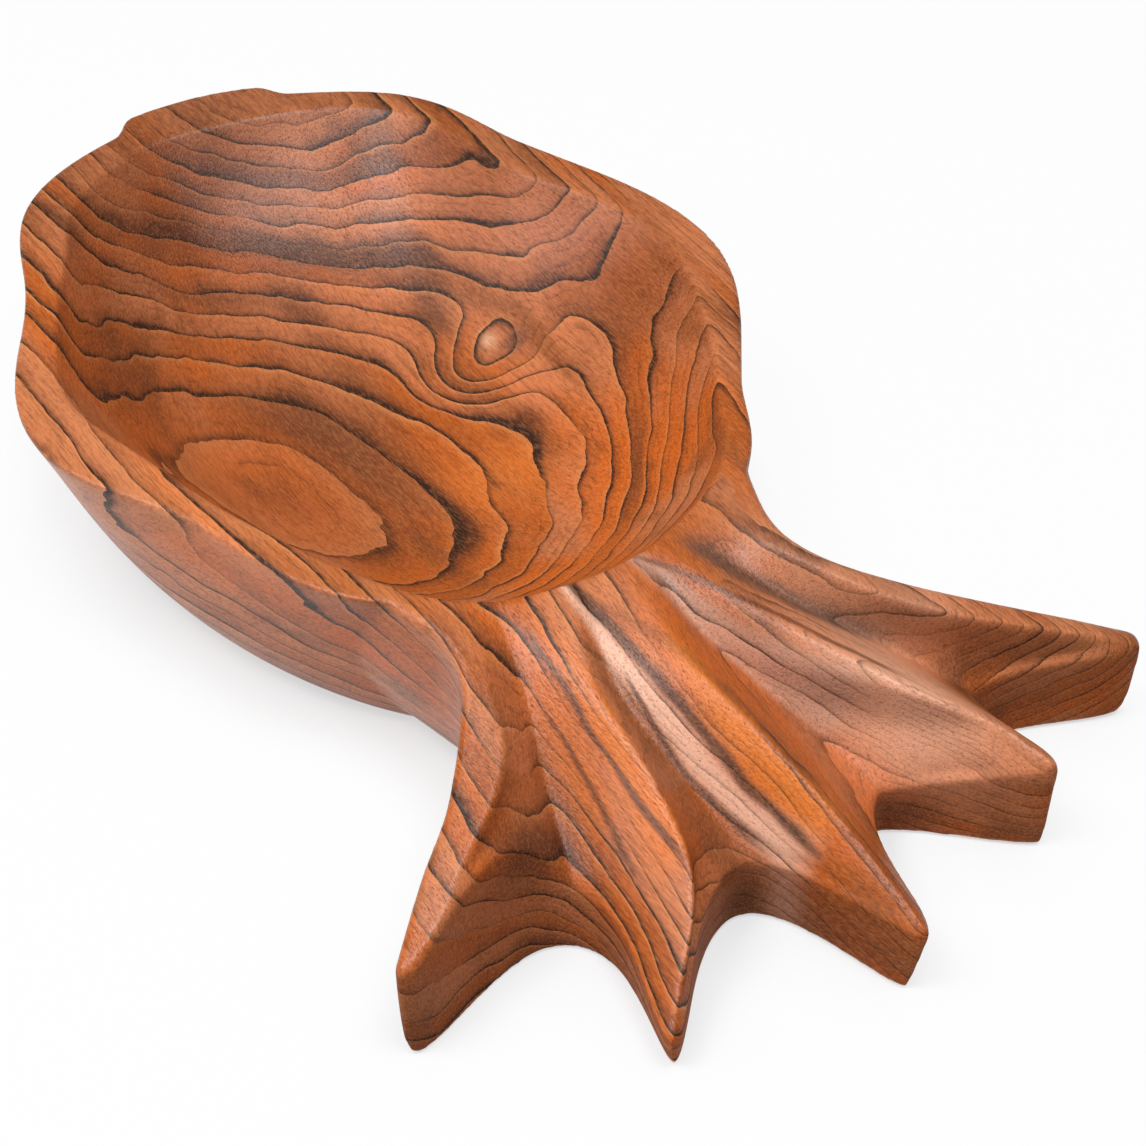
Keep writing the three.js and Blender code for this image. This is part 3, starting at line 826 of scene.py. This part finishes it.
def parts(vector):
    node = new_node("SeparateXYZ", None, [vector])
    return [Amount(socket) for socket in node.outputs]


def scaled(place, factors, offset):
    node = new_node("VectorMath", "MULTIPLY_ADD", [place, factors, offset])
    return Amount(node.outputs[0])


def noise(place, name):
    """Noise about nothing, mostly from -1 to 1, of the row with that name in NOISES."""
    stretch, seed, detail, roughness = NOISES[name]
    node = new_node("TexNoise")
    node.noise_dimensions = "3D"
    node.inputs["Scale"].default_value = 1.0
    node.inputs["Detail"].default_value = detail
    node.inputs["Roughness"].default_value = roughness
    offset = [seed * step for step in SEED_STEPS]
    set_input(node.inputs["Vector"], scaled(place, [1 / size for size in stretch], offset))
    return (Amount(node.outputs["Fac"]) - NOISE_MIDDLE) * NOISE_GAIN


def chance(value):
    """A number from 0 to 1 that looks random and is always the same for the same value."""
    node = new_node("TexWhiteNoise")
    node.noise_dimensions = "1D"
    set_input(node.inputs["W"], value)
    return Amount(node.outputs["Value"])


def blend(share, first, second):
    """From the first colour at share 0 to the second at share 1."""
    node = new_node("Mix")
    node.data_type = "RGBA"
    node.clamp_factor = True
    set_input(node.inputs[0], share)
    for socket, colour in zip((node.inputs[6], node.inputs[7]), (first, second)):
        set_input(socket, colour if isinstance(colour, Amount) else (*colour, 1))
    return Amount(node.outputs[2])


def spot(place, centre, reach):
    """1 at the centre, fading over the reach along each axis."""
    factors = [1 / size for size in reach]
    offset = [-middle / size for middle, size in zip(centre, reach)]
    away = new_node("VectorMath", "LENGTH", [scaled(place, factors, offset)])
    return bell(Amount(away.outputs["Value"]))


def streak(x, y, start, end, course, widths):
    """1 along a bent line on the leaves, fading over its half width and at both ends."""
    along = x - STREAK_MIDDLE
    offset = y - (along * (along * course[2] + course[1]) + course[0])
    width = (x - start) * ((widths[1] - widths[0]) / (end - start)) + widths[0]
    across = bell(maths("ABSOLUTE", offset / width), STREAK_POWER)
    sets_in = ramp(x, start - STREAK_FADE, start + STREAK_FADE)
    return across * sets_in * ramp(x, end + STREAK_FADE, end - STREAK_FADE)


def growth_layers(place, x, y, z):
    """Number of the growth layer at a place: the layers of the log bend round the bowl."""
    for centre, reach, pull in KNOTS:
        lift = spot(place, centre, reach)
        y, z = lift * pull[0] + y, lift * pull[1] + z
    neck = maths("EXPONENT", (x - NECK_X + BEYOND_START) / BEYOND_SOFTNESS) + 1
    values = {
        "a": (x - LAYER_MIDDLE[0]) / LAYER_SCALE[0],
        "s": (y - LAYER_MIDDLE[1]) / LAYER_SCALE[1],
        "d": (RIM_HEIGHT - z) / RIM_HEIGHT,
        "b": maths("LOGARITHM", neck, math.e) * BEYOND_SOFTNESS / BEYOND_SCALE,
    }
    layers = LAYER_START
    for weight, factors in LAYER_BEND:
        term = values[factors[0]]
        for factor in factors[1:]:
            term = term * values[factor]
        layers = term * weight + layers
    waves = 0.0
    for name, weight in WAVES:
        waves = noise(place, name) * weight + waves
    centre, reach, weight = STEADY
    return layers + waves * (1 - spot(place, centre, reach) * weight)


def new_material(name):
    """A material, to which the functions above then add their nodes, and its shader."""
    material = bpy.data.materials.new(name)
    material.use_nodes = True
    Amount.tree = material.node_tree
    return material, material.node_tree.nodes["Principled BSDF"]


def make_wood():
    wood, shader = new_material("teak")
    given = new_node("TexCoord")
    place = scaled(Amount(given.outputs["Object"]), (1 / MM, 1 / MM, 1 / MM), tuple(shift))
    x, y, z = parts(place)
    towards_leaves, _, upwards = parts(Amount(given.outputs["Normal"]))
    # Faces along the block, the far end's less, and steep walls among the leaves: darker oiled end
    # grain and painted shade
    end_facing = maths("MAXIMUM", towards_leaves, towards_leaves * FAR_END)
    shaded_gap_wall = ramp(maths("ABSOLUTE", upwards), *GAP_WALL) * ramp(x, *GAP_WALL_START)
    oiled_and_shaded = maths("MAXIMUM", ramp(end_facing, *END_GRAIN), shaded_gap_wall)

    # A growth layer is two half layers. Each ends in late wood and a dark line, and the line at
    # the end of the whole layer is the stronger one.
    layers = growth_layers(place, x, y, z)
    half_layers = layers * 2
    number = maths("FLOOR", half_layers)
    share = half_layers - number
    whole = maths("FLOORED_MODULO", number, 2.0)
    own_tone = chance(number + TONE_SEED)
    own_line = chance(number + LINE_SEED)
    uneven = noise(place, "uneven")

    calm = ramp(x, *FAN_START) * ramp(y, *FAN_SIDE) * FAN_CALM
    for centre, reach, weight in CALM:
        calm = calm + spot(place, centre, reach) * weight
    strength = whole * LINE_WHOLE + own_line * LINE_OWN + LINE_LEAST
    strength = strength * (uneven * LINE_UNEVEN + 1.0)
    strength = strength * maths("SUBTRACT", 1.0, calm, clamp=True)
    heavy = ramp(noise(place, "heavy"), *HEAVY_RANGE) * HEAVY_SHARE
    for centre, reach, weight in HEAVY:
        heavy = heavy + spot(place, centre, reach) * weight
    heavy = maths("MAXIMUM", maths("MINIMUM", heavy, 1.0), 0.0)

    late_power = LATE_POWER - heavy * LATE_HEAVY_POWER - own_line * LATE_OWN_POWER
    late_strength = strength * (heavy * LATE_HEAVY + LATE_LEAST)
    late = maths("MULTIPLY", share ** late_power, late_strength, clamp=True)
    line_width = uneven * LINE_WIDTH_UNEVEN + LINE_WIDTH
    line = maths("MULTIPLY", bell((1 - share) / line_width), strength * LINE_GAIN, clamp=True)
    light_line = bell(share / LIGHT_WIDTH) * strength
    fine = layers * FINE_COUNT
    fine_share = fine - maths("FLOOR", fine)
    fine_line = fine_share ** FINE_POWER * ramp(noise(place, "fine lines"), *FINE_RANGE)
    pores = ramp(noise(place, "pores"), *PORE_RANGE)
    fleck = noise(place, "fleck")

    tint = noise(place, "patch") + own_tone - CHANCE_MIDDLE
    for centre, reach, weight in TINTS:
        tint = tint + spot(place, centre, reach) * weight
    tone = blend(ramp(tint, *TINT_RANGE), ORANGE, SALMON)
    tone = blend(ramp(own_tone, *DARK_LAYER_RANGE) * DARK_LAYER, tone, BROWN)
    tone = blend(ramp(noise(place, "cloud"), *CLOUD_RANGE) * CLOUD, tone, BROWN)
    tone = blend(ramp(noise(place, "fibre"), *FIBRE_RANGE) * FIBRE, tone, BROWN)
    tone = blend(light_line * LIGHT_LINE, tone, PALE)
    # Stains, the knot's heart, painted shade in the far end of the hollow and the gaps, and
    # painted sheen on leaves 4 and 5
    for centre, reach, weight, colour in STAINS_SHADE_AND_SHEEN:
        tone = blend(spot(place, centre, reach) * weight, tone, colour)
    for layer, thickness, centre, reach, weight, colour in BANDS:
        inside = bell((layers - layer) / thickness, BAND_POWER)
        tone = blend(inside * spot(place, centre, reach) * weight, tone, colour)
    # Streaks: grain lines, painted shade along two valleys and painted sheen on two lit flanks
    wandering = y + noise(place, "wander") * WANDER
    for start, end, course, widths, weight, colour in STREAKS:
        along = streak(x, wandering, start, end, course, widths)
        tone = blend(along * weight, tone, colour)
    # Oiled end grain, and painted shade on the leaf ends and the walls of the gaps
    tone = blend(oiled_and_shaded * OIL_AND_SHADE, tone, OILED_END_AND_SHADE)
    tone = blend(late * LATE, tone, UMBER)
    tone = blend(fine_line * FINE_LINE, tone, UMBER)
    tone = blend(line * LINE, tone, CHOCOLATE)
    tone = blend(pores * PORE, tone, CHOCOLATE)
    tone = blend(ramp(fleck, *DARK_FLECK_RANGE) * DARK_FLECK, tone, UMBER)
    tone = blend(ramp(fleck, *LIGHT_FLECK_RANGE) * LIGHT_FLECK, tone, PALE)
    set_input(shader.inputs["Base Color"], tone)

    roughness = ROUGHNESS + pores * ROUGH_PORES + line * ROUGH_LINES
    roughness = roughness + uneven * ROUGH_UNEVEN + oiled_and_shaded * ROUGH_OILED
    set_input(shader.inputs["Roughness"], roughness)
    relief = new_node("Bump")
    relief.inputs["Strength"].default_value = RELIEF_STRENGTH
    relief.inputs["Distance"].default_value = RELIEF_DEPTH * MM
    set_input(relief.inputs["Height"], fleck * RELIEF_FLECK - pores)
    set_input(shader.inputs["Normal"], Amount(relief.outputs["Normal"]))
    shader.inputs["IOR"].default_value = OIL_IOR
    set_input(shader.inputs["Specular IOR Level"], SPECULAR - oiled_and_shaded * SPECULAR_OILED)
    set_input(shader.inputs["Coat Weight"], COAT - oiled_and_shaded * COAT)
    shader.inputs["Coat Roughness"].default_value = COAT_ROUGHNESS
    return wood


bowl.data.materials.clear()
bowl.data.materials.append(make_wood())


def make_paper():
    """White to the camera and in reflections, with the bowl's soft shadow kept."""
    paper, matt = new_material("paper")
    matt.inputs["Base Color"].default_value = (FLOOR_GREY, FLOOR_GREY, FLOOR_GREY, 1)
    matt.inputs["Roughness"].default_value = FLOOR_ROUGHNESS
    glow = new_node("Emission")
    glow.inputs["Strength"].default_value = 1.0
    rays = new_node("LightPath")
    in_sight = Amount(rays.outputs["Is Camera Ray"])
    seen = maths("MAXIMUM", in_sight, Amount(rays.outputs["Is Glossy Ray"]))
    nearness = new_node("AmbientOcclusion")
    nearness.inputs["Distance"].default_value = SHADE_REACH
    nearness.samples = SHADE_SAMPLES
    openness = Amount(nearness.outputs["AO"])
    white = ramp(openness, *SHADE_RANGE, start=SHADE_GLOW, end=FLOOR_GLOW)
    shaders = [Amount(matt.outputs[0]), Amount(glow.outputs[0])]
    mixed = new_node("MixShader", None, [seen * white] + shaders)
    set_input(Amount.tree.nodes["Material Output"].inputs["Surface"], Amount(mixed.outputs[0]))
    return paper


bpy.ops.mesh.primitive_plane_add(size=FLOOR_SIZE)
floor = bpy.context.object
floor.name = "floor"
floor.data.materials.append(make_paper())

# Camera at the photograph's angle
elevation = math.radians(CAMERA_ELEVATION)
turn = math.radians(CAMERA_TURN)
right = Vector((math.cos(turn), math.sin(turn), 0))
ahead = Vector((-math.sin(turn), math.cos(turn), 0))
forward = ahead * math.cos(elevation) + Vector((0, 0, -math.sin(elevation)))
up = right.cross(forward)
target = (Vector(CAMERA_TARGET) - Vector((shift[0], shift[1], 0))) * MM
camera_data = bpy.data.cameras.new("camera")
camera = bpy.data.objects.new("camera", camera_data)
bpy.context.scene.collection.objects.link(camera)
stand = Matrix((
    (right.x, up.x, -forward.x, 0),
    (right.y, up.y, -forward.y, 0),
    (right.z, up.z, -forward.z, 0),
    (0, 0, 0, 1),
))
stand.translation = target - forward * CAMERA_DISTANCE
camera.matrix_world = stand
camera_data.sensor_width = SENSOR_WIDTH
camera_data.lens = FOCAL_PIXELS / PHOTO_PIXELS * SENSOR_WIDTH
camera_data.clip_start = CLIP_START
camera_data.clip_end = CLIP_END
bpy.context.scene.camera = camera


def round_lamp(name, bearing, height, size, energy, colour):
    data = bpy.data.lights.new(name, "AREA")
    data.shape = "DISK"
    data.size = size
    data.energy = energy
    data.color = colour
    lamp = bpy.data.objects.new(name, data)
    bpy.context.scene.collection.objects.link(lamp)
    level = ahead * math.cos(math.radians(bearing)) + right * math.sin(math.radians(bearing))
    way = level * math.cos(math.radians(height)) + Vector((0, 0, math.sin(math.radians(height))))
    lamp.location = way * LAMP_DISTANCE
    lamp.rotation_euler = (-way).to_track_quat("-Z", "Y").to_euler()


for lamp_row in LAMPS:
    round_lamp(*lamp_row)

# Studio: dim as light, and white where the camera sees past the floor
world = bpy.data.worlds.new("studio")
world.use_nodes = True
Amount.tree = world.node_tree
background = world.node_tree.nodes["Background"]
background.inputs["Color"].default_value = (1, 1, 1, 1)
view_rays = new_node("LightPath")
sky = ramp(Amount(view_rays.outputs["Is Camera Ray"]), 0.0, 1.0, start=SKY_LIGHT, end=1.0)
set_input(background.inputs["Strength"], sky)
bpy.context.scene.world = world
bpy.context.scene.view_settings.view_transform = "Standard"
